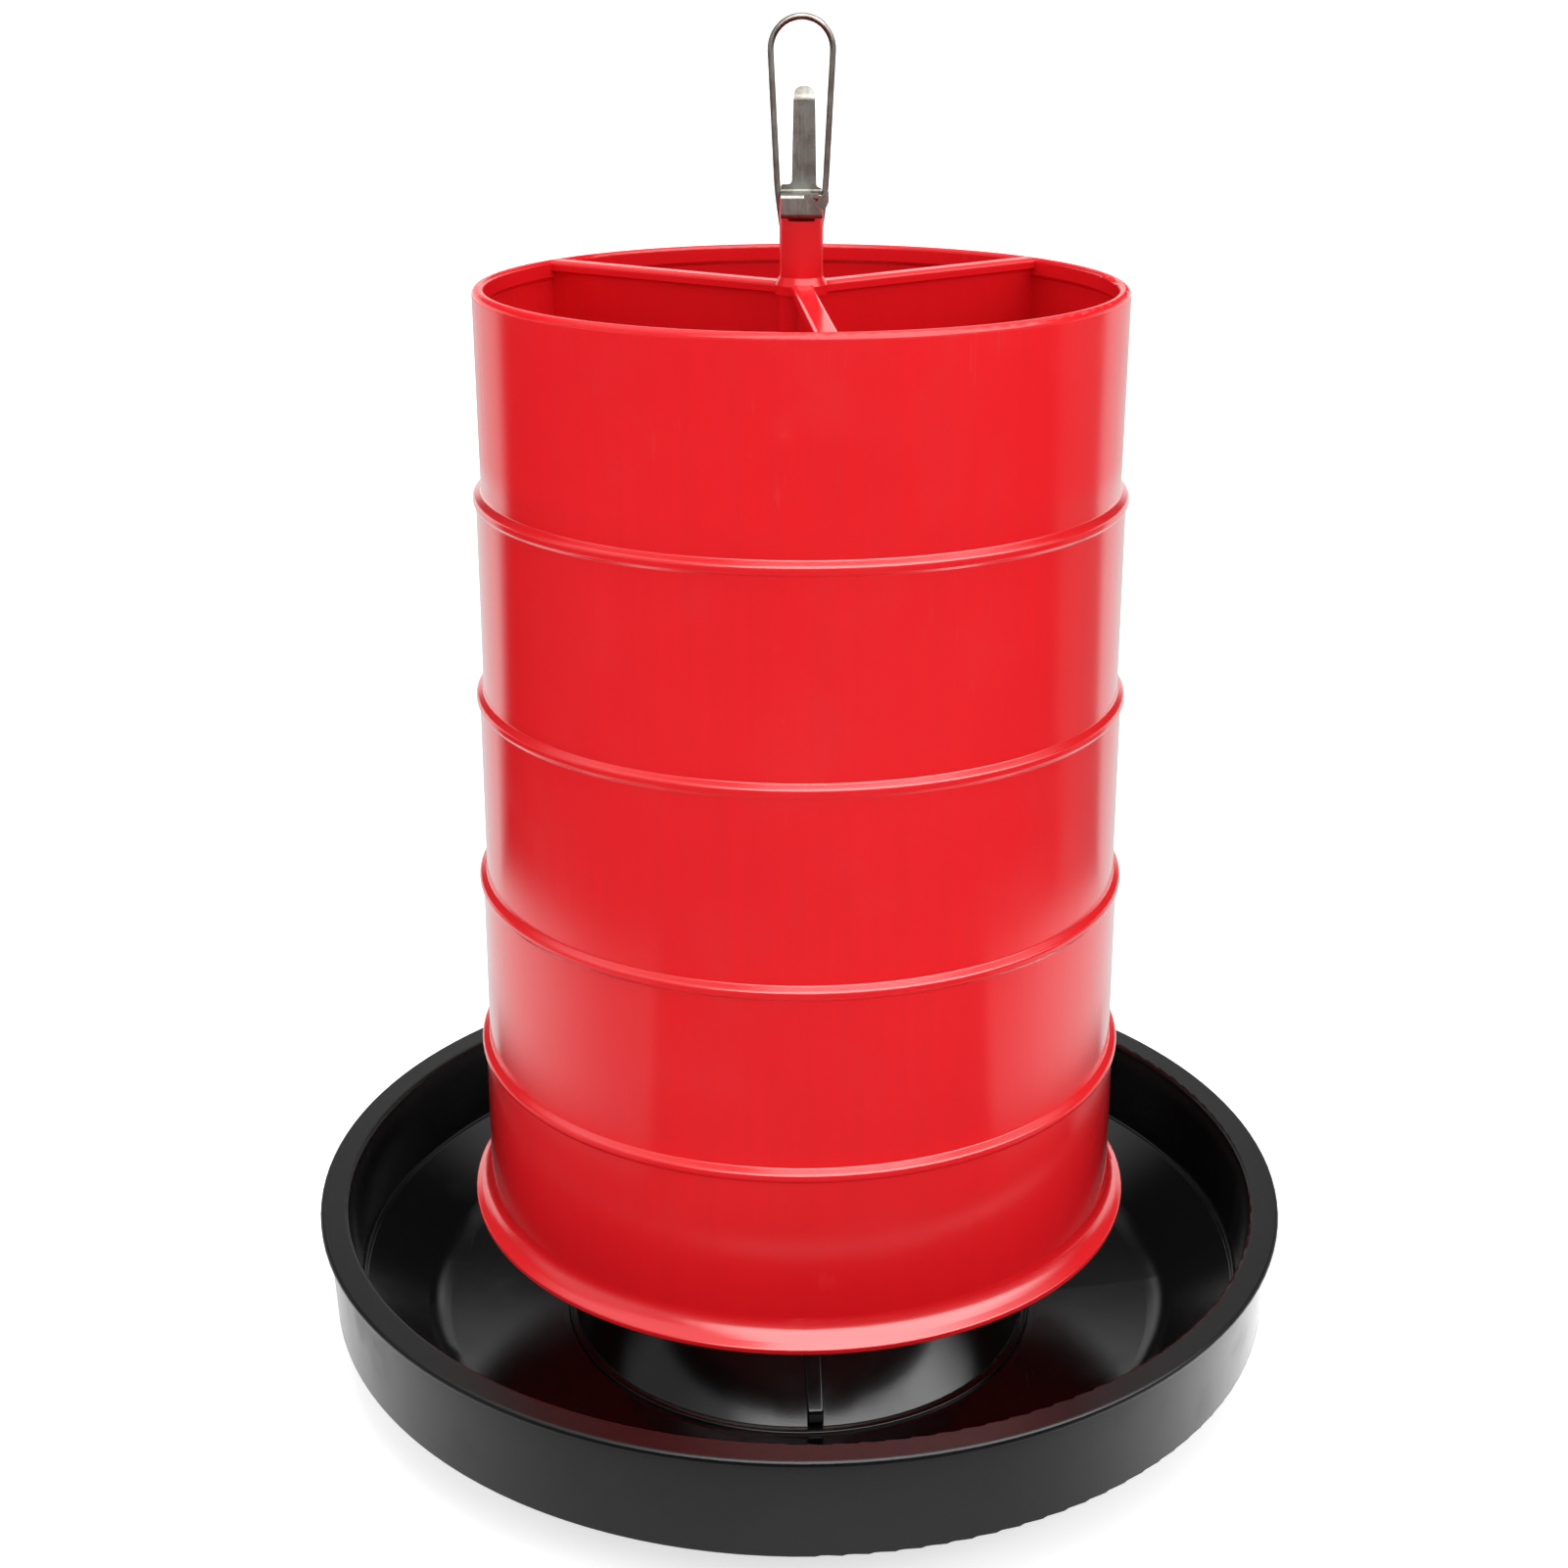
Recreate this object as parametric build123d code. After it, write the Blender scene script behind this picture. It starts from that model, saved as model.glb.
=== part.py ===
from build123d import *
from math import atan, sin
import os

# Hanging poultry feeder: a red stepped hopper over a black pan, both carried by one bent wire.
# Millimetres, +Z up. The origin is the centre of the pan's foot ring, where the feeder stands.
# The front of the feeder faces -Y. Outlines are written as corners: across, up, rounding.

# Pan
pan_radius = 190.0
pan_height = 64.0
pan_wall = 3.0
rim_width = 10.8
rim_plate = 3.0
skirt_inset = 2.6
skirt_draft = 1.5
skirt_bottom = 22.5
ledge_height = 29.6
ledge_radius = 175.6
ledge_width = 1.8
bowl_corner_radius = 146.8
bowl_corner_height = 10.8
bowl_fillet = 20.0
floor_edge_radius = 97.0
floor_edge_height = 3.8
foot_ring_radius = 104.0

# Cone in the middle of the pan
cone_base_radius = 91.0
cone_crown_radius = 19.0
cone_crown_height = 76.0
cone_bead_radius = 93.8
cone_bead_width = 1.8
cone_bead_height = 1.1
rib_width = 6.2
rib_stand = 7.0
rib_skin = 2.0
rib_rounding = 1.0
rib_angles = (273.7, 33.7, 153.7)

# Hopper
hopper_top = 415.6
hopper_foot = 62.6
top_radius = 114.5
hopper_wall = 2.8
rim_thickness = 4.2
rim_depth = 6.0
ring_heights = (342.7, 269.3, 198.2, 130.1)
ring_step = 1.95
ring_stand = 1.0
ring_half_height = 2.4
section_draft = 0.5
foot_radius = 129.2
foot_flare = 6.4
foot_lip = 2.2

# Spider and column
arm_angles = (273.7, 38.5, 145.8)
arm_width = 7.6
arm_flange = 3.6
arm_web = 3.0
arm_depth = 45.0
arm_hub_rounding = 20.0
column_radius = 7.75
column_bore = 6.4
column_top = 444.6
column_bottom = 366.0
column_root = 1.4
column_slot_width = 2.9
column_slot_bottom = 417.5
hook_window_width = 9.0
hook_window_bottom = 437.0
hook_window_top = 440.2

# Hanging wire
wire_radius = 1.1
wire_clearance = 0.35
leg_half_gap = 4.7
leg_bend_height = 421.0
mouth_half_gap = 8.3
mouth_height = 447.0
loop_half_width = 11.1
loop_height = 503.5
loop_rounding = 10.6
wire_hook_reach = 13.5
wire_hook_height = 68.6
wire_bend = 3.0

# Locking plate
sheet = 1.2
plate_height = 445.4
plate_half_width = 7.1
fold_rounding = 0.75
flap_y = -8.75
flap_right = 7.2
hook_height = 438.6
hook_end_y = -5.4
hook_half_width = 4.0
notch_front_y = -1.8
notch_back_y = 2.6
neck_half_width = 3.1
tongue_y = 5.8
tongue_shift = 0.95
tongue_base_left = 448.2
tongue_base_right = 447.0
tongue_root_rounding = 1.4
plate_rounding = 0.8
tongue_low_half_width = 4.3
tongue_top_half_width = 3.65
tongue_top = 480.0
tongue_tip_back = 2.4
tongue_tip_drop = 3.0

# The plate's ear: a strip that dips past the flap's corner, then rises before the right leg
ear_root = 2.2
ear_dip = (4.9, 442.8)
ear_tip = (8.7, 446.5)
ear_back_y = -1.95
ear_dip_back_y = -6.9
ear_root_back_y = -8.1
ear_bend = 0.8
ear_lip = ((4.9, 442.6), (8.9, 446.8), (9.3, 445.7), (9.3, 443.7), (8.3, 441.5), (7.8, 440.3), (6.3, 441.8))
flap_cut = ((7.2, 440.35), (4.55, 443.1), (2.2, 445.6))

# Washer under the pan's crown
washer_radius = 15.0
washer_thickness = 1.5


def outline(*corners):
    """A closed flat face from corners given as across, up, rounding."""
    points = [(across, up) for across, up, rounding in corners]
    roundings = [rounding for across, up, rounding in corners]
    return make_face(FilletPolyline(*points, radius=roundings, close=True))


def turned(*corners):
    """A solid of revolution about Z from corners given as radius, height, rounding."""
    return revolve(Plane.XZ * outline(*corners), Axis.Z)


def around(solid, angles):
    """Copies of a shape that points along +X, turned to each angle about Z."""
    return [Rot(Z=angle) * solid for angle in angles]


def block(x_range, y_range, z_range):
    """A box between two limits on each axis."""
    size = [high - low for low, high in (x_range, y_range, z_range)]
    middle = [(high + low) / 2 for low, high in (x_range, y_range, z_range)]
    return Pos(*middle) * Box(*size)


def wire_holes(radius, z_range):
    """Two upright cylinders where the wire's legs pass."""
    low, high = z_range
    hole = Pos(0, 0, (low + high) / 2) * Cylinder(radius, high - low)
    return [Pos(leg_half_gap, 0, 0) * hole, Pos(-leg_half_gap, 0, 0) * hole]


def cone_slope():
    """Rise over run of the pan's cone."""
    return (cone_crown_height - floor_edge_height) / (cone_base_radius - cone_crown_radius)


def rib_edge(inset):
    """The rib's outer corners, drawn in by an inset: foot, shoulder and crest."""
    end = cone_base_radius - inset
    shoulder = floor_edge_height + rib_stand - inset
    top = cone_crown_height - inset
    crest = end - (top - shoulder) / cone_slope()
    return end, shoulder, crest, top


def cone_rib():
    """One radial rib that stands on the pan's cone, with rounded outer edges."""
    end, shoulder, crest, top = rib_edge(0)
    buried = pan_wall / 2
    low = floor_edge_height - buried
    face = outline((end, low, 0), (end, shoulder, 3.0), (crest, top, 0), (cone_crown_radius, top, 0),
                   (cone_crown_radius, top - 2 * buried / 3, 0), (end - buried, low, 0))
    rib = extrude(Plane.XZ * face, rib_width / 2, both=True)
    side = rib_width / 2
    upper = [edge for edge in rib.edges() if abs(abs(edge.center().Y) - side) < 0.01
             and edge.center().X + edge.center().Z / cone_slope() > end + 2 * buried]
    return fillet(upper, rib_rounding)


def rib_core():
    """The slot under one rib that leaves it hollow, open to the pan's underside."""
    end, shoulder, crest, top = rib_edge(rib_skin)
    inner = cone_crown_radius + 1
    face = outline((end, -1, 0), (end, shoulder, 0), (crest, top, 0), (inner, top, 0),
                   (inner, top - 4 * pan_wall, 0), (end - 5 * pan_wall, -1, 0))
    return extrude(Plane.XZ * face, rib_width / 2 - rib_skin, both=True)


def make_feed_pan():
    """The black pan: skirted rim, bowl, floor and ribbed centre cone in one moulding."""
    skin = pan_wall / sin(atan(cone_slope()))
    under_crown = cone_crown_height - pan_wall
    under_crown_radius = cone_crown_radius + pan_wall - skin
    under_foot_radius = cone_base_radius + floor_edge_height - skin
    rim_inner = pan_radius - rim_width
    under_rim = pan_height - rim_plate
    skirt_top = pan_radius - skirt_inset
    skirt_low = skirt_top - skirt_draft
    bead_low = cone_bead_radius - cone_bead_width / 2
    bead_high = cone_bead_radius + cone_bead_width / 2
    bead_top = floor_edge_height + cone_bead_height
    body = turned(
        (0, cone_crown_height, 0), (cone_crown_radius, cone_crown_height, 4.0),
        (cone_base_radius, floor_edge_height, 2.0),
        (bead_low, floor_edge_height, 0), (bead_low, bead_top, 0.6), (bead_high, bead_top, 0.6),
        (bead_high, floor_edge_height, 0), (floor_edge_radius, floor_edge_height, 1.0),
        (bowl_corner_radius, bowl_corner_height, bowl_fillet),
        (ledge_radius - ledge_width, ledge_height - 0.3, 0.8), (ledge_radius, ledge_height, 0.8),
        (rim_inner, pan_height, 1.8), (pan_radius, pan_height, 1.2), (pan_radius, under_rim, 1.2),
        (skirt_top, under_rim, 0.4), (skirt_low, skirt_bottom, 1.4),
        (skirt_low - pan_wall, skirt_bottom, 1.2), (skirt_top - pan_wall, under_rim, 0.8),
        (rim_inner + pan_wall, under_rim, 0.8), (ledge_radius + pan_wall, ledge_height - 3.0, 4.0),
        (bowl_corner_radius + 1.0, bowl_corner_height - pan_wall, bowl_fillet),
        (foot_ring_radius + 2.0, 1.9, 1.0), (foot_ring_radius, 0, 1.0),
        (under_foot_radius, 0, 0.8), (under_crown_radius, under_crown, 2.0), (0, under_crown, 0))
    for rib in around(cone_rib(), rib_angles):
        body += rib
    for core in around(rib_core(), rib_angles):
        body -= core
    for hole in wire_holes(wire_radius + wire_clearance, (under_crown - 1, cone_crown_height + 1)):
        body -= hole
    return body


def section_radius(index):
    """Outer radius at the top of one of the hopper's stepped sections."""
    return top_radius + ring_step * index


def hopper_tube():
    """The stepped tube with its rim, raised rings and flared foot."""
    outer = []
    inner = []
    for index, height in enumerate(ring_heights):
        above = section_radius(index) + (section_draft if index else 0)
        below = section_radius(index + 1)
        crest = below + ring_stand + 0.15 * index
        half = ring_half_height
        outer += [(above, height + half, 0.6), (crest, height + half / 2, 1.2),
                  (crest, height - half / 2, 1.2), (below, height - half, 0.6)]
        inner = [(below - hopper_wall, height - half, 2.0), (above - hopper_wall, height + half, 2.0)] + inner
    last = section_radius(len(ring_heights)) + section_draft
    foot_bend = hopper_foot + foot_flare
    return turned(
        (top_radius, hopper_top, 2.2), *outer,
        (last, foot_bend, 9.0), (foot_radius, hopper_foot + foot_lip, 0.9), (foot_radius, hopper_foot, 0.9),
        (foot_radius - 3.2, hopper_foot, 0.6), (last - hopper_wall, foot_bend - 1.0, 9.0), *inner,
        (top_radius - hopper_wall, hopper_top - rim_depth - 1.5, 0),
        (top_radius - rim_thickness, hopper_top - rim_depth, 0),
        (top_radius - rim_thickness, hopper_top, 1.4))


def spider():
    """Three T-section arms from the wall to the column, flush with the rim."""
    reach = top_radius - rim_thickness / 2
    bar = Pos(reach / 2, 0) * Rectangle(reach, arm_width)
    plan = Sketch() + around(bar, arm_angles)
    crotches = plan.vertices().sort_by_distance((0, 0, 0))[:len(arm_angles)]
    plan = fillet(crotches, arm_hub_rounding)
    top = Pos(0, 0, hopper_top - arm_flange) * extrude(plan, arm_flange)
    top = fillet(top.edges().group_by(Axis.Z)[-1], 1.6)
    web = block((0, reach), (-arm_web / 2, arm_web / 2), (hopper_top - arm_depth, hopper_top - 1))
    for one_web in around(web, arm_angles):
        top += one_web
    return top


def column():
    """The hollow centre post, with side slots for the wire and a window for the plate's hook."""
    post = turned(
        (0, column_bottom, 0), (column_radius, column_bottom, 0.6), (column_radius, column_top, 0.5),
        (0, column_top, 0))
    wide = column_radius + column_root
    low = hopper_top - arm_flange - 0.3
    tip = hopper_top + 1.5 * column_root
    root = turned((0, low, 0), (wide, low, 0), (wide, hopper_top - column_root / 2, 0), (column_radius, tip, 0),
                  (0, tip, 0))
    return post + root


def make_hopper():
    """The red hopper: tube, spider and column in one moulding."""
    body = hopper_tube() + spider() + column()
    above = column_top + 5
    below = column_bottom - 1
    body -= Pos(0, 0, (below + above) / 2) * Cylinder(column_bore, above - below)
    half_slot = column_slot_width / 2
    side = column_radius + 1
    body -= block((-side, side), (-half_slot, half_slot), (column_slot_bottom, above))
    half_window = hook_window_width / 2
    body -= block((-half_window, half_window), (-side, 0), (hook_window_bottom, hook_window_top))
    return body


def make_hanger_wire():
    """One wire: a loop, two legs down through the column and pan, and two bent ends."""
    right = [(wire_hook_reach, wire_hook_height), (leg_half_gap, wire_hook_height),
             (leg_half_gap, leg_bend_height), (mouth_half_gap, mouth_height), (loop_half_width, loop_height)]
    left = [(-across, up) for across, up in reversed(right)]
    roundings = [wire_bend, 60, 100, loop_rounding]
    centre_line = FilletPolyline(*right, *left, radius=roundings + roundings[::-1])
    path = Plane.XZ * centre_line
    start = Plane(origin=path @ 0, z_dir=path % 0)
    return sweep(start * Circle(wire_radius), path)


def make_locking_plate():
    """The stamped plate: hook, front flap, notched web, right ear and thumb tongue."""
    tip_y = tongue_y + tongue_tip_back
    centre_line = FilletPolyline(
        (hook_end_y, hook_height), (flap_y, hook_height), (flap_y, plate_height), (tongue_y, plate_height),
        (tongue_y, tongue_top - tongue_tip_drop), (tip_y, tongue_top), radius=[1.0, fold_rounding, 1.2, 2.5])
    bent = extrude(Plane.YZ * make_face(offset(centre_line, sheet / 2)), 2 * plate_half_width, both=True)
    far = 20
    fold_end = flap_y + fold_rounding
    thick = (plate_height - sheet, plate_height + sheet)
    hook = block((-hook_half_width, hook_half_width), (flap_y + sheet / 2, 0),
                 (hook_height - sheet, hook_height + sheet))
    flap = Pos(0, fold_end, 0) * extrude(Plane.XZ * flap_outline(), sheet + fold_rounding)
    front = block((-plate_half_width, ear_root), (fold_end, ear_dip_back_y), thick)
    middle = block((-plate_half_width, ear_root + plate_half_width / 2), (ear_dip_back_y, notch_front_y), thick)
    neck = block((-neck_half_width, neck_half_width), (notch_front_y, notch_back_y), thick)
    tongue = Pos(0, notch_back_y, 0) * extrude(Plane.XZ * tongue_outline(), -far)
    return (bent & (hook + flap + front + middle + neck + tongue)) + plate_ear()


def flap_outline():
    """Front view of the flap, with its right shoulder sheared off where the ear dips."""
    low = hook_height - sheet
    high = plate_height + sheet
    return outline(
        (-plate_half_width, low, plate_rounding), (flap_right, low, plate_rounding),
        *[(across, up, 0) for across, up in flap_cut], (ear_root, high, 0), (-plate_half_width, high, 0))


def plate_ear():
    """The ear's strip, which dips and rises, and the lip that hangs from its front edge."""
    front_y = flap_y - sheet / 2
    centre_line = FilletPolyline((ear_root - ear_bend, plate_height), (ear_root, plate_height), ear_dip, ear_tip,
                                 radius=[ear_bend, ear_bend])
    strip = extrude(Plane.XZ * make_face(offset(centre_line, sheet / 2)), -front_y)
    wing_x = column_radius + 0.35
    far = ear_tip[0] + sheet
    plan = outline((0, front_y, 0), (far, front_y, 0), (far, ear_back_y, 0.5), (wing_x, ear_back_y, 0.5),
                   (wing_x, -3.6, 0), (ear_dip[0], ear_dip_back_y, 0), (0, ear_root_back_y, 0))
    strip = strip & (Pos(0, 0, ear_dip[1] - far) * extrude(plan, 2 * far))
    lip_face = outline(*[(across, up, 0.3) for across, up in ear_lip])
    lip = Pos(0, front_y + sheet, 0) * extrude(Plane.XZ * lip_face, sheet)
    return strip + lip


def tongue_outline():
    """Front view of the plate's back: a wide base that narrows into the tongue."""
    low = plate_height - sheet
    left_low = tongue_shift - tongue_low_half_width
    right_low = tongue_shift + tongue_low_half_width
    left_top = tongue_shift - tongue_top_half_width
    right_top = tongue_shift + tongue_top_half_width
    crown = tongue_top + sheet / 2
    return outline(
        (-plate_half_width, low, 0), (plate_half_width, low, 0),
        (plate_half_width, tongue_base_right, plate_rounding),
        (right_low, tongue_base_right, tongue_root_rounding), (right_top, crown, 3.0), (left_top, crown, 3.0),
        (left_low, tongue_base_left, tongue_root_rounding), (-plate_half_width, tongue_base_left, plate_rounding))


def make_retaining_washer():
    """A steel disc under the pan's crown, with a hole for each leg of the wire."""
    top = cone_crown_height - pan_wall
    low = top - washer_thickness
    disc = turned((0, low, 0), (washer_radius, low, 0.3), (washer_radius, top, 0.3), (0, top, 0))
    for hole in wire_holes(wire_radius + wire_clearance, (low - 1, top + 1)):
        disc -= hole
    return disc


pieces = {
    "hopper": make_hopper(),
    "feed_pan": make_feed_pan(),
    "hanger_wire": make_hanger_wire(),
    "locking_plate": make_locking_plate(),
    "retaining_washer": make_retaining_washer(),
}

os.makedirs("parts", exist_ok=True)
for name, solid in pieces.items():
    solid.label = name
    export_step(solid, f"parts/{name}.step")
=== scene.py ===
import math

import bpy
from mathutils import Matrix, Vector

# Looks for a hanging poultry feeder: a red stepped hopper over a black pan, held by a steel wire.
# Metres, +Z up, in the CAD frame. The feeder's front faces -Y.

# Camera
camera_place = (-0.0060, -0.7895, 0.5214)
camera_pitch = 69.64
camera_lens = 51.03
sensor_width = 36.0

# Studio
floor_size = 40.0
floor_shade = 0.86
paper_near = 0.55
paper_far = 1.0
paper_fade = (0.28, 0.95)

# Painted reflection: what the glossy walls mirror on the floor, which glows with this pattern for glossy rays only.
# Angles are turns from the front about Z, in radians
left_edge = (-0.84, -0.76)
right_edge = (1.02, 1.10)
table_outer = (0.52, 0.63)
table_inner = (0.31, 0.40)
apron_edge = (0.245, 0.275)
apron_turn = (0.4, 1.9)
apron_light = (0.42, 1.9, 3.3)
table_rise = (-0.30, 0.05)
table_light = (0.28, 0.80)
backdrop_edge = (2.08, 2.26)
backdrop_light = 0.75
side_panel = (1.60, 1.75, 2.10, 2.20)
side_panel_light = 0.16
far_floor = (5.8, 7.2)
far_floor_light = 1.8

# What gloss sees above the floor: a tall softbox in front, a low bright backdrop behind. Heights are sines
front_box_turn = 0.5
front_box_width = (0.75, 1.45)
front_box_height = (0.22, 0.48)
front_box_light = 5.0
top_box_height = (0.58, 0.80)
top_box_light = 1.1
fill_turn = (1.6, 2.0)
fill_height = (0.0, 0.25)
fill_light = 0.5
back_turn = (1.9, 2.2)
back_height = (0.14, 0.28)
back_light = 0.95
back_strip_turn = (2.72, 2.95)
back_strip_height = (0.36, 0.44, 0.46, 0.56)
back_strip_light = 1.2
room_light = 0.04
even_light = 0.64
box_share = 0.045

# Softboxes: name, place, target, size, power
softboxes = (
    ("key_box", (1.2, -1.2, 1.00), (0, 0, 0.18), (1.2, 1.2), 12.5),
    ("left_box", (-1.6, -0.5, 0.8), (0, 0, 0.20), (1.0, 1.0), 8.0),
    ("overhead_box", (0.0, 0.1, 1.7), (0, 0, 0.30), (1.0, 1.0), 14.0),
)

# Finishes, as display colours
red = (229, 27, 34)
deep_red = (214, 22, 30)
pale_red = (240, 90, 90)
black = (4, 4, 4)
worn_black = (8, 8, 8)
satin_black = (36, 37, 36)
scuffed_black = (48, 48, 48)
wire_light = (172, 168, 162)
wire_dark = (136, 126, 117)
sheet_light = (158, 159, 153)
sheet_dark = (126, 119, 111)
# Bright steel for edges: sheared or rubbed steel, and partly a painted highlight on the folds
edge_wear_and_highlight = (205, 203, 197)
textured_from = (0.1780, 0.1795)
skirt_top = (0.0595, 0.0615)
dull_foot = (0.048, 0.062)
foot_roughness = 1.0
spider_radius = (0.112, 0.118)
spider_height = (0.350, 0.360)
rim_top = (0.4120, 0.4136)


# Node helpers

class Nodes:
    """Adds nodes to one tree and links them."""

    def __init__(self, tree):
        self.tree = tree

    def add(self, kind, settings=None, **inputs):
        """A node of that kind, with its settings, and its inputs set or linked by name."""
        node = self.tree.nodes.new(kind)
        for name, value in (settings or {}).items():
            setattr(node, name, value)
        for name, value in inputs.items():
            self.feed(node, name.replace("_", " "), value)
        return node

    def feed(self, node, name, value):
        """Links a socket, or sets a plain value, on one input."""
        socket = node.inputs[int(name)] if name.isdigit() else node.inputs[name]
        if isinstance(value, bpy.types.NodeSocket):
            self.tree.links.new(value, socket)
        else:
            socket.default_value = value

    def math(self, operation, *values):
        node = self.tree.nodes.new("ShaderNodeMath")
        node.operation = operation
        for index, value in enumerate(values):
            self.feed(node, str(index), value)
        return node.outputs[0]

    def vector(self, operation, *values):
        node = self.tree.nodes.new("ShaderNodeVectorMath")
        node.operation = operation
        for index, value in enumerate(values):
            self.feed(node, str(index), value)
        return node.outputs[0]

    def vector_value(self, operation, *values):
        node = self.tree.nodes.new("ShaderNodeVectorMath")
        node.operation = operation
        for index, value in enumerate(values):
            self.feed(node, str(index), value)
        return node.outputs["Value"]

    def greatest(self, first, *others):
        for value in others:
            first = self.math("MAXIMUM", first, value)
        return first

    def length(self, vector):
        return self.vector_value("LENGTH", vector)

    def number_mix(self, amount, first, second):
        """A number that goes from first to second as amount goes from 0 to 1."""
        node = self.tree.nodes.new("ShaderNodeMix")
        self.feed(node, "0", amount)
        self.feed(node, "2", first)
        self.feed(node, "3", second)
        return node.outputs[0]

    def shaders(self, amount, first, second):
        return self.add("ShaderNodeMixShader", **{"0": amount, "1": first, "2": second}).outputs[0]

    def group(self, tree, **inputs):
        node = self.tree.nodes.new("ShaderNodeGroup")
        node.node_tree = tree
        for name, value in inputs.items():
            self.feed(node, name.replace("_", " "), value)
        return node.outputs

    def surface(self, shader):
        out = self.tree.nodes.new("ShaderNodeOutputMaterial")
        self.tree.links.new(shader, out.inputs[0])

    def noise(self, place, scale, detail=2.0, roughness=0.5):
        node = self.add("ShaderNodeTexNoise", Vector=place, Scale=scale, Detail=detail, Roughness=roughness)
        return node.outputs["Fac"]

    def remap(self, value, low, high, to_low=0.0, to_high=1.0):
        node = self.add("ShaderNodeMapRange", {"interpolation_type": "SMOOTHSTEP"})
        for index, item in enumerate((value, low, high, to_low, to_high)):
            self.feed(node, str(index), item)
        return node.outputs[0]

    def mix(self, amount, first, second, blend="MIX"):
        node = self.tree.nodes.new("ShaderNodeMix")
        node.data_type = "RGBA"
        node.blend_type = blend
        self.feed(node, "0", amount)
        self.feed(node, "6", first)
        self.feed(node, "7", second)
        return node.outputs[2]


def colour(red_level, green_level, blue_level):
    """A display colour, 0 to 255, as scene linear."""
    def linear(level):
        level = level / 255
        return level / 12.92 if level <= 0.04045 else ((level + 0.055) / 1.055) ** 2.4
    return (linear(red_level), linear(green_level), linear(blue_level), 1.0)


def new_material(name):
    material = bpy.data.materials.new(name)
    material.use_nodes = True
    material.node_tree.nodes.clear()
    return material, Nodes(material.node_tree)


def dress(node_name, material):
    """Puts one material on a CAD node."""
    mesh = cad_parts[node_name].data
    mesh.materials.clear()
    mesh.materials.append(material)


# Scene

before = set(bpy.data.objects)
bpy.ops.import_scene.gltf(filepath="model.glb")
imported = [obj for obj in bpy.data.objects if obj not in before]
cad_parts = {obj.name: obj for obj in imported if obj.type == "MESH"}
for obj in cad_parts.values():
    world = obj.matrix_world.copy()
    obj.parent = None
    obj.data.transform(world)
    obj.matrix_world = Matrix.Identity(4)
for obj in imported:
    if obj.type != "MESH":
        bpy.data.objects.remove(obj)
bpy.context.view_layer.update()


def make_camera():
    data = bpy.data.cameras.new("camera")
    data.lens = camera_lens
    data.sensor_width = sensor_width
    data.sensor_fit = "HORIZONTAL"
    camera = bpy.data.objects.new("camera", data)
    camera.location = camera_place
    camera.rotation_euler = (math.radians(camera_pitch), 0, 0)
    bpy.context.scene.collection.objects.link(camera)
    bpy.context.scene.camera = camera


def make_floor():
    """A pale floor. The camera sees white paper that keeps the feeder's shadow.
    In reflections it glows with a painted reflection of a lit table round the feeder, in a room that is dark in
    front."""
    bpy.ops.mesh.primitive_plane_add(size=floor_size)
    floor = bpy.context.object
    floor.name = "floor"
    material, n = new_material("pale_floor")
    path = n.add("ShaderNodeLightPath")
    place = n.add("ShaderNodeNewGeometry").outputs["Position"]
    axes = n.add("ShaderNodeSeparateXYZ", Vector=place).outputs
    distance = n.length(place)
    turn = n.math("ARCTAN2", axes["X"], n.math("MULTIPLY", axes["Y"], -1.0))
    sides = n.math("MAXIMUM", n.remap(turn, *left_edge, 1.0, 0.0), n.remap(turn, *right_edge))
    ring = n.math("MULTIPLY", n.remap(distance, *table_outer, 1.0, 0.0), n.remap(distance, *table_inner))
    table = n.math("MULTIPLY", n.math("MULTIPLY", sides, ring), n.remap(axes["Y"], *table_rise, *table_light))
    left_apron = n.remap(turn, -apron_turn[1], -apron_turn[0], apron_light[1], apron_light[0])
    right_apron = n.remap(turn, *apron_turn, apron_light[0], apron_light[2])
    apron = n.math("MULTIPLY", n.remap(distance, *apron_edge, 1.0, 0.0), n.math("MAXIMUM", left_apron, right_apron))
    backdrop = n.remap(n.math("ABSOLUTE", turn), *backdrop_edge, 0.0, backdrop_light)
    panel = n.math("MULTIPLY", n.remap(turn, side_panel[0], side_panel[1], 0.0, side_panel_light),
                   n.remap(turn, side_panel[2], side_panel[3], 1.0, 0.0))
    far = n.remap(distance, *far_floor, 0.0, far_floor_light)
    # Painted reflection: a table, apron, backdrop, side panel and far floor that glow only for glossy rays
    painted_reflection = n.greatest(table, apron, backdrop, panel, far)
    pale = n.add("ShaderNodeBsdfDiffuse", Color=(floor_shade, floor_shade, floor_shade, 1)).outputs[0]
    paper = n.add("ShaderNodeEmission", Strength=n.remap(distance, *paper_fade, paper_near, paper_far)).outputs[0]
    seen = n.add("ShaderNodeAddShader", **{"0": pale, "1": paper}).outputs[0]
    looked_at = n.math("MAXIMUM", path.outputs["Is Camera Ray"], path.outputs["Is Transmission Ray"])
    direct = n.shaders(looked_at, pale, seen)
    glossy = n.add("ShaderNodeEmission", Strength=painted_reflection).outputs[0]
    n.surface(n.shaders(path.outputs["Is Glossy Ray"], direct, glossy))
    floor.data.materials.append(material)


def area_light(name, place, target, size, power, tint=(1, 1, 1)):
    data = bpy.data.lights.new(name, "AREA")
    data.shape = "RECTANGLE"
    data.size, data.size_y = size
    data.energy = power
    data.color = tint
    light = bpy.data.objects.new(name, data)
    light.location = place
    light.rotation_euler = (Vector(target) - Vector(place)).to_track_quat("-Z", "Y").to_euler()
    light.visible_glossy = False
    bpy.context.scene.collection.objects.link(light)
    return light


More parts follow.
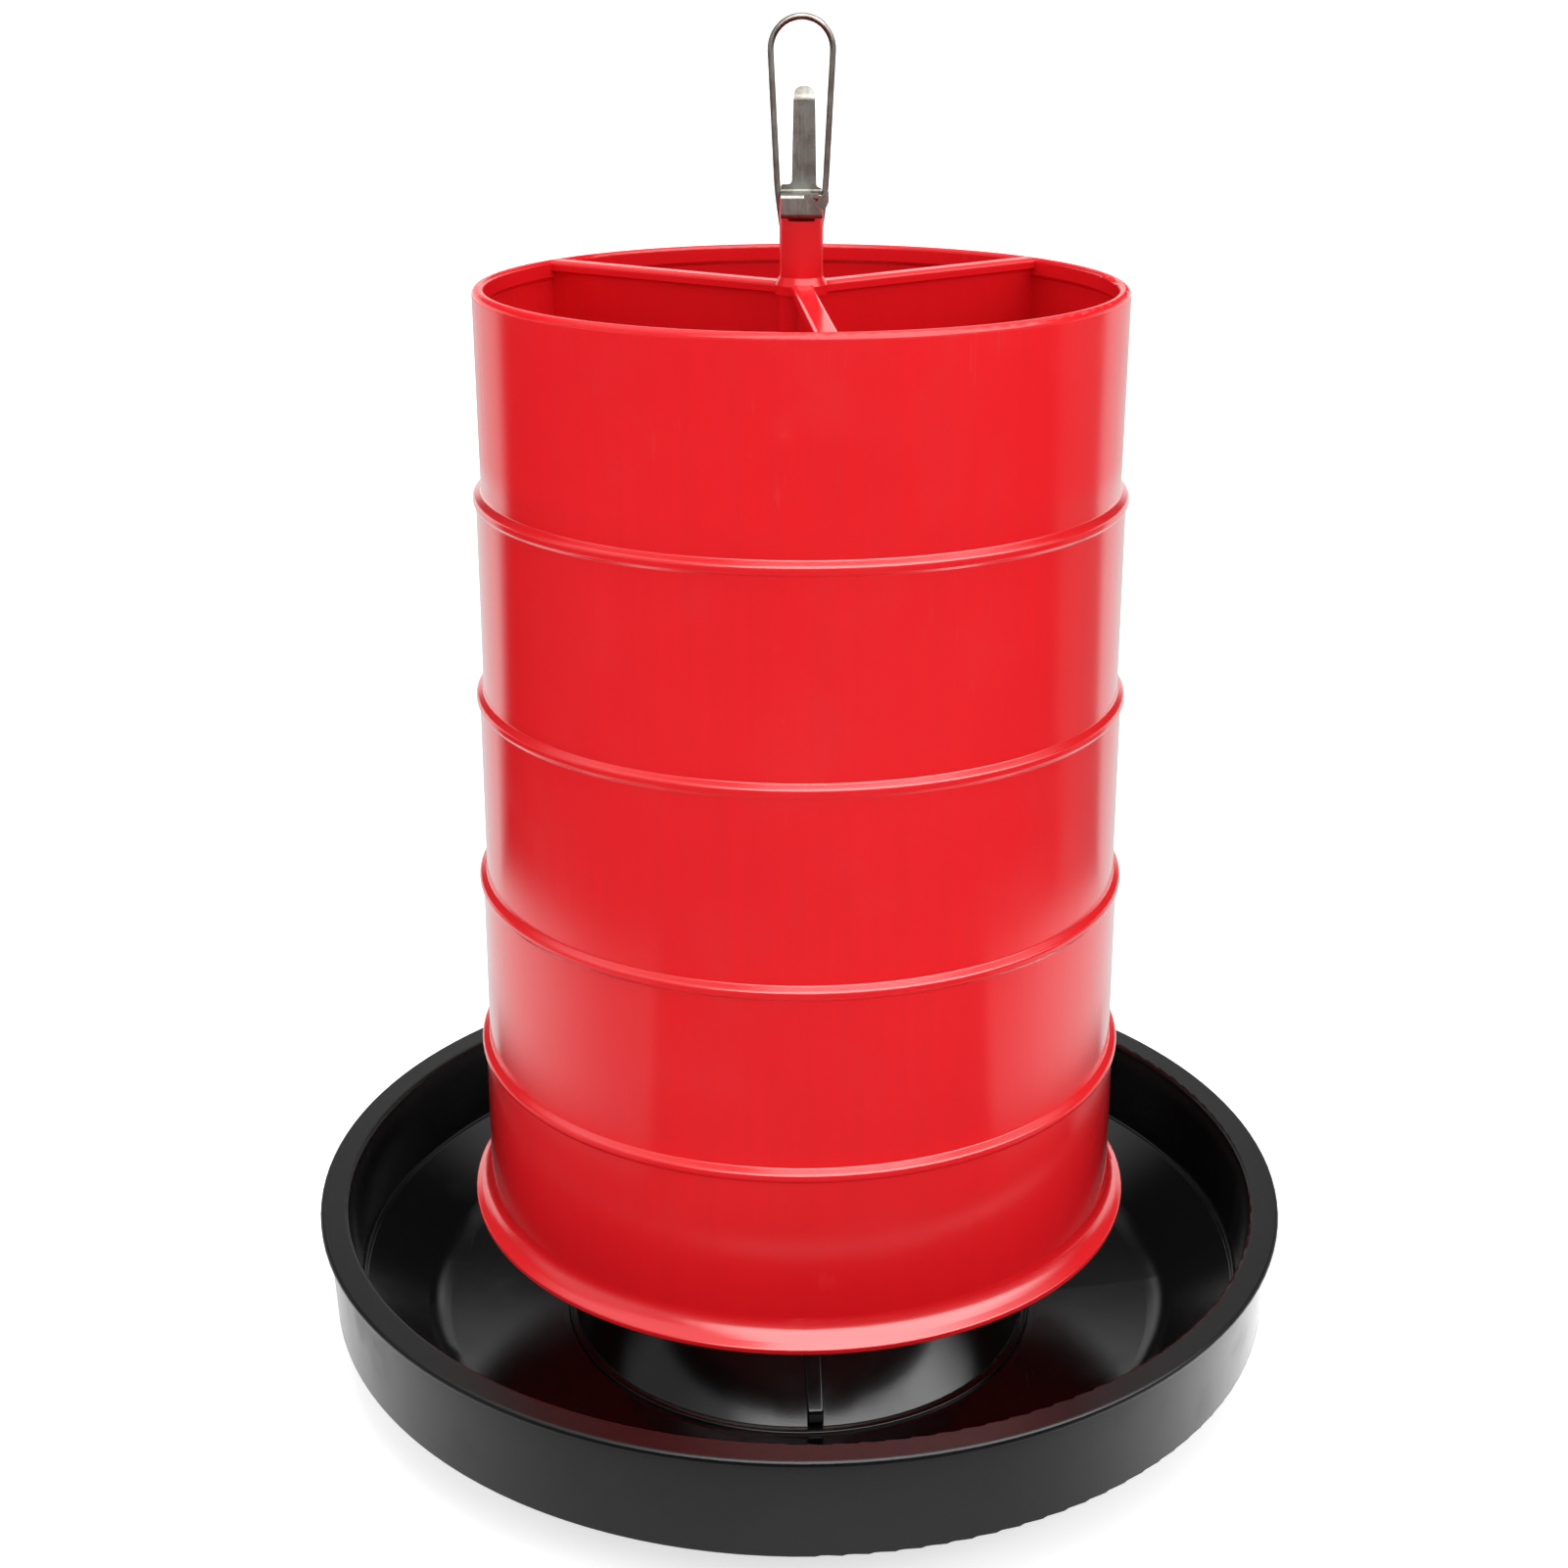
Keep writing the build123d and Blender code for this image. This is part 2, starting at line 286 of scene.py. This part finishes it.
def make_world():
    """White surroundings. Gloss sees the softboxes and sheets of a studio in them."""
    world = bpy.data.worlds.new("studio")
    bpy.context.scene.world = world
    world.use_nodes = True
    world.node_tree.nodes.clear()
    n = Nodes(world.node_tree)
    path = n.add("ShaderNodeLightPath")
    axes = n.add("ShaderNodeSeparateXYZ", Vector=n.add("ShaderNodeTexCoord").outputs["Generated"]).outputs
    height = axes["Z"]
    turn = n.math("ARCTAN2", axes["X"], n.math("MULTIPLY", axes["Y"], -1.0))
    off_axis = n.math("ABSOLUTE", n.math("SUBTRACT", turn, front_box_turn))
    front_box = n.math("MULTIPLY", n.remap(off_axis, *front_box_width, front_box_light, 0.0),
                       n.remap(height, *front_box_height))
    top_box = n.remap(height, *top_box_height, 0.0, top_box_light)
    away = n.math("ABSOLUTE", turn)
    fill = n.math("MULTIPLY", n.remap(away, *fill_turn, fill_light, 0.0), n.remap(height, *fill_height))
    back = n.math("MULTIPLY", n.remap(away, *back_turn), n.remap(height, *back_height, back_light, 0.0))
    strip_low, strip_full, strip_fade, strip_top = back_strip_height
    strip = n.math("MULTIPLY", n.remap(height, strip_low, strip_full),
                   n.remap(height, strip_fade, strip_top, back_strip_light, 0.0))
    back_strip = n.math("MULTIPLY", strip, n.remap(away, *back_strip_turn))
    boxes = n.greatest(front_box, top_box, fill, back, back_strip, room_light)
    soft = n.math("MULTIPLY_ADD", boxes, box_share, even_light)
    lit = n.number_mix(path.outputs["Is Glossy Ray"], soft, boxes)
    white = n.math("MAXIMUM", path.outputs["Is Camera Ray"], path.outputs["Is Transmission Ray"])
    shade = n.add("ShaderNodeBackground", Color=(1, 1, 1, 1), Strength=n.number_mix(white, lit, 1.0))
    out = n.add("ShaderNodeOutputWorld")
    n.tree.links.new(shade.outputs[0], out.inputs[0])


# Effects that several materials share

def new_group(name, inputs, outputs):
    """An empty shader group with float or vector sockets; gives the group, its nodes, its inputs and its end."""
    tree = bpy.data.node_groups.new(name, "ShaderNodeTree")
    for socket, kind in inputs:
        tree.interface.new_socket(name=socket, in_out="INPUT", socket_type=kind)
    for socket, kind in outputs:
        tree.interface.new_socket(name=socket, in_out="OUTPUT", socket_type=kind)
    n = Nodes(tree)
    start = n.add("NodeGroupInput")
    end = n.add("NodeGroupOutput")
    return tree, n, start.outputs, end


def make_moulded_skin():
    """Fine mould grain, slow waves, tone drift and the upright streaks of a plastic moulding."""
    tree, n, given, end = new_group(
        "moulded_skin",
        [("Place", "NodeSocketVector"), ("Grain Scale", "NodeSocketFloat"), ("Wave Share", "NodeSocketFloat")],
        [("Height", "NodeSocketFloat"), ("Drift", "NodeSocketFloat"), ("Streaks", "NodeSocketFloat")])
    grain = n.noise(given["Place"], given["Grain Scale"], 3.0, 0.6)
    waves = n.noise(given["Place"], 22.0, 1.0, 0.4)
    n.feed(end, "Height", n.math("ADD", grain, n.math("MULTIPLY", waves, given["Wave Share"])))
    n.feed(end, "Drift", n.remap(n.noise(given["Place"], 9.0, 4.0, 0.55), 0.3, 0.7))
    upright = n.vector("MULTIPLY", given["Place"], (150, 150, 5))
    n.feed(end, "Streaks", n.remap(n.noise(upright, 1.0, 3.0, 0.6), 0.3, 0.7))
    return tree


def make_handling_marks():
    """Hairline scratches in patches, and soft rubbed areas."""
    tree, n, given, end = new_group(
        "handling_marks", [("Place", "NodeSocketVector")],
        [("Scratches", "NodeSocketFloat"), ("Rubbed", "NodeSocketFloat")])
    lines = []
    for turn, stretch in (((0.3, 0.1, 0.5), (1700, 40, 90)), ((1.1, 0.7, 2.1), (70, 2000, 50))):
        laid = n.add("ShaderNodeMapping", Vector=given["Place"], Rotation=turn, Scale=stretch).outputs[0]
        lines.append(n.remap(n.noise(laid, 1.0, 2.0, 0.5), 0.66, 0.74))
    patches = n.remap(n.noise(given["Place"], 16.0, 2.0, 0.5), 0.48, 0.66)
    scratches = n.math("MULTIPLY", n.math("MAXIMUM", *lines), patches)
    n.feed(end, "Scratches", scratches)
    n.feed(end, "Rubbed", n.remap(n.noise(given["Place"], 30.0, 3.0, 0.6), 0.45, 0.75))
    return tree


def make_edge_finder():
    """Marks the narrow zone along sharp edges, broken up a little."""
    tree, n, given, end = new_group(
        "edge_finder", [("Place", "NodeSocketVector"), ("Width", "NodeSocketFloat")],
        [("Edge", "NodeSocketFloat")])
    rounded = n.add("ShaderNodeBevel", {"samples": 4}, Radius=given["Width"]).outputs[0]
    flat = n.add("ShaderNodeNewGeometry").outputs["Normal"]
    bend = n.math("SUBTRACT", 1.0, n.vector_value("DOT_PRODUCT", rounded, flat))
    broken = n.remap(n.noise(given["Place"], 700.0, 3.0, 0.6), 0.2, 0.6, 0.5, 1.0)
    n.feed(end, "Edge", n.math("MULTIPLY", n.remap(bend, 0.02, 0.25), broken))
    return tree


def make_drawn_lines():
    """Fine lines of drawing or brushing along Z, with tarnish in soft clouds."""
    tree, n, given, end = new_group(
        "drawn_lines", [("Place", "NodeSocketVector"), ("Across", "NodeSocketFloat")],
        [("Lines", "NodeSocketFloat"), ("Tarnish", "NodeSocketFloat"), ("Pits", "NodeSocketFloat")])
    stretch = n.add("ShaderNodeCombineXYZ", X=given["Across"], Y=given["Across"], Z=60.0).outputs[0]
    laid = n.vector("MULTIPLY", given["Place"], stretch)
    n.feed(end, "Lines", n.noise(laid, 1.0, 3.0, 0.6))
    n.feed(end, "Tarnish", n.remap(n.noise(given["Place"], 160.0, 4.0, 0.6), 0.38, 0.68))
    n.feed(end, "Pits", n.remap(n.noise(given["Place"], 1600.0, 2.0, 0.5), 0.64, 0.74))
    return tree


# Materials

def place_on(n):
    """Where a point is on the piece, which stays with the piece when it moves."""
    return n.add("ShaderNodeTexCoord").outputs["Object"]


def radius_at(n, place):
    """How far a point is from the feeder's upright axis."""
    axes = n.add("ShaderNodeSeparateXYZ", Vector=place).outputs
    return n.length(n.add("ShaderNodeCombineXYZ", X=axes["X"], Y=axes["Y"]).outputs[0])


def finish_with(n, height, strength, distance, **sockets):
    """The material's one shader, with a bump on its normal."""
    bump = n.add("ShaderNodeBump", Strength=strength, Distance=distance, Height=height).outputs[0]
    shader = n.add("ShaderNodeBsdfPrincipled", Normal=bump, **sockets)
    n.surface(shader.outputs[0])


def red_plastic():
    material, n = new_material("red_moulded_plastic")
    place = place_on(n)
    skin = n.group(groups["skin"], Place=place, Grain_Scale=420.0, Wave_Share=3.0)
    marks = n.group(groups["marks"], Place=place)
    tone = n.mix(n.math("MULTIPLY", skin["Drift"], 0.4), colour(*red), colour(*deep_red))
    tone = n.mix(n.math("MULTIPLY", skin["Streaks"], 0.25), tone, colour(*deep_red))
    tone = n.mix(n.math("MULTIPLY", marks["Scratches"], 0.10), tone, colour(*pale_red))
    rough = n.math("ADD", n.remap(marks["Rubbed"], 0.0, 1.0, 0.15, 0.21),
                   n.math("MULTIPLY", skin["Streaks"], 0.03))
    height = n.add("ShaderNodeSeparateXYZ", Vector=place).outputs["Z"]
    dull = n.remap(height, *dull_foot, 1.0, 0.0)
    rough = n.number_mix(dull, rough, foot_roughness)
    spider = n.math("MULTIPLY", n.remap(radius_at(n, place), *spider_radius, 1.0, 0.0),
                    n.remap(height, *spider_height))
    plain = n.greatest(dull, spider, n.remap(height, *rim_top))
    gloss = n.math("SUBTRACT", 1.0, plain)
    finish_with(n, skin["Height"], 0.10, 0.0002, Base_Color=tone, Roughness=rough,
                Coat_Weight=gloss, Coat_Roughness=0.14)
    return material


def black_plastic():
    """Glossy inside, fine satin texture on the rim, and greyer satin on the skirt."""
    material, n = new_material("black_moulded_plastic")
    place = place_on(n)
    skin = n.group(groups["skin"], Place=place, Grain_Scale=1500.0, Wave_Share=0.6)
    marks = n.group(groups["marks"], Place=place)
    level = n.add("ShaderNodeSeparateXYZ", Vector=place).outputs["Z"]
    outside = n.remap(radius_at(n, place), *textured_from)
    skirt = n.math("MULTIPLY", outside, n.remap(level, *skirt_top, 1.0, 0.0))
    tone = n.mix(n.math("MULTIPLY", skin["Drift"], 0.6), colour(*black), colour(*worn_black))
    tone = n.mix(n.math("MULTIPLY", skirt, n.remap(skin["Drift"], 0.0, 1.0, 0.85, 1.0)), tone, colour(*satin_black))
    tone = n.mix(n.math("MULTIPLY", marks["Scratches"], 0.16), tone, colour(*scuffed_black))
    smooth = n.remap(marks["Rubbed"], 0.0, 1.0, 0.14, 0.20)
    satin = n.remap(marks["Rubbed"], 0.0, 1.0, 0.30, 0.38)
    rough = n.math("ADD", n.number_mix(outside, smooth, satin), n.math("MULTIPLY", marks["Scratches"], 0.10))
    height = n.math("MULTIPLY", skin["Height"], n.remap(outside, 0.0, 1.0, 0.25, 1.0))
    finish_with(n, height, 0.25, 0.00025, Base_Color=tone, Roughness=rough)
    return material


def steel(name, light, dark, rough, across, edge_width, pit_depth):
    """Bare steel with drawing lines, tarnish and pits, and brighter along edges: partly sheared or rubbed steel,
    partly a painted highlight.
    """
    material, n = new_material(name)
    place = place_on(n)
    lines = n.group(groups["lines"], Place=place, Across=across)
    edge = n.group(groups["edges"], Place=place, Width=edge_width)["Edge"]
    tone = n.mix(lines["Tarnish"], colour(*light), colour(*dark))
    tone = n.mix(n.math("MULTIPLY", lines["Lines"], 0.35), tone, colour(*dark))
    # Edges lighten towards bright steel: partly real sheared or rubbed edges, partly a painted highlight along the
    # folds
    tone = n.mix(n.math("MULTIPLY", edge, 0.7), tone, colour(*edge_wear_and_highlight))
    spread = n.math("ADD", n.remap(lines["Lines"], 0.3, 0.7, rough - 0.07, rough + 0.07),
                    n.math("MULTIPLY", lines["Tarnish"], 0.06))
    height = n.math("SUBTRACT", n.math("MULTIPLY", lines["Lines"], 0.4),
                    n.math("MULTIPLY", lines["Pits"], pit_depth))
    finish_with(n, height, 0.3, 0.00015, Base_Color=tone, Roughness=spread, Metallic=1.0)
    return material


make_camera()
make_floor()
make_world()
for light in softboxes:
    area_light(*light)
groups = {"skin": make_moulded_skin(), "marks": make_handling_marks(), "edges": make_edge_finder(),
          "lines": make_drawn_lines()}
dress("hopper", red_plastic())
dress("feed_pan", black_plastic())
dress("hanger_wire", steel("drawn_wire", wire_light, wire_dark, 0.34, 2200.0, 0.0002, 0.2))
dress("locking_plate", steel("stamped_sheet", sheet_light, sheet_dark, 0.40, 1400.0, 0.0005, 0.5))
dress("retaining_washer", steel("washer_sheet", sheet_light, sheet_dark, 0.36, 300.0, 0.0004, 0.4))

bpy.context.scene.view_settings.view_transform = "Standard"
